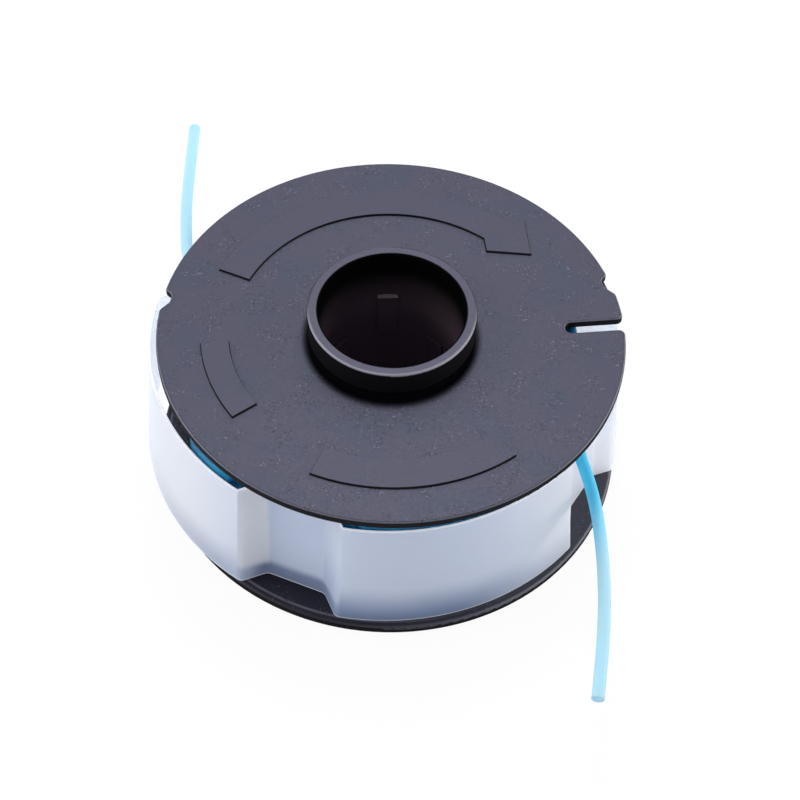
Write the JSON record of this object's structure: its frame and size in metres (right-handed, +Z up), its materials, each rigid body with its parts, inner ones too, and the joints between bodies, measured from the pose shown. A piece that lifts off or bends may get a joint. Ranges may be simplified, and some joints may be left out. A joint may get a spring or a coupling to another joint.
{
  "type": "trimmer line spool",
  "caption": "Flanged black spool wound with blue nylon trimmer line, with a milky sprung clip round the turns and free line ends that leave through it.",
  "frame": {"origin": "centre of the bore in the plane of the lower flange's underside", "axes": "+Z up the bore towards the collar; the picture looks along +Y, with +X to its right"},
  "size_m": [0.0636, 0.0942, 0.0285],
  "materials": {
    "spool_black": "fine spark-eroded moulded texture, dark grey with a violet cast",
    "line_blue": "smooth clear blue nylon",
    "keeper_milky": "thin milky translucent plastic, satin"
  },
  "bodies": {
    "root": {"spool_body": "spool_black", "line_winding": "line_blue", "line_end_front": "line_blue", "line_end_rear": "line_blue", "line_keeper": "keeper_milky"}
  },
  "joints": []
}
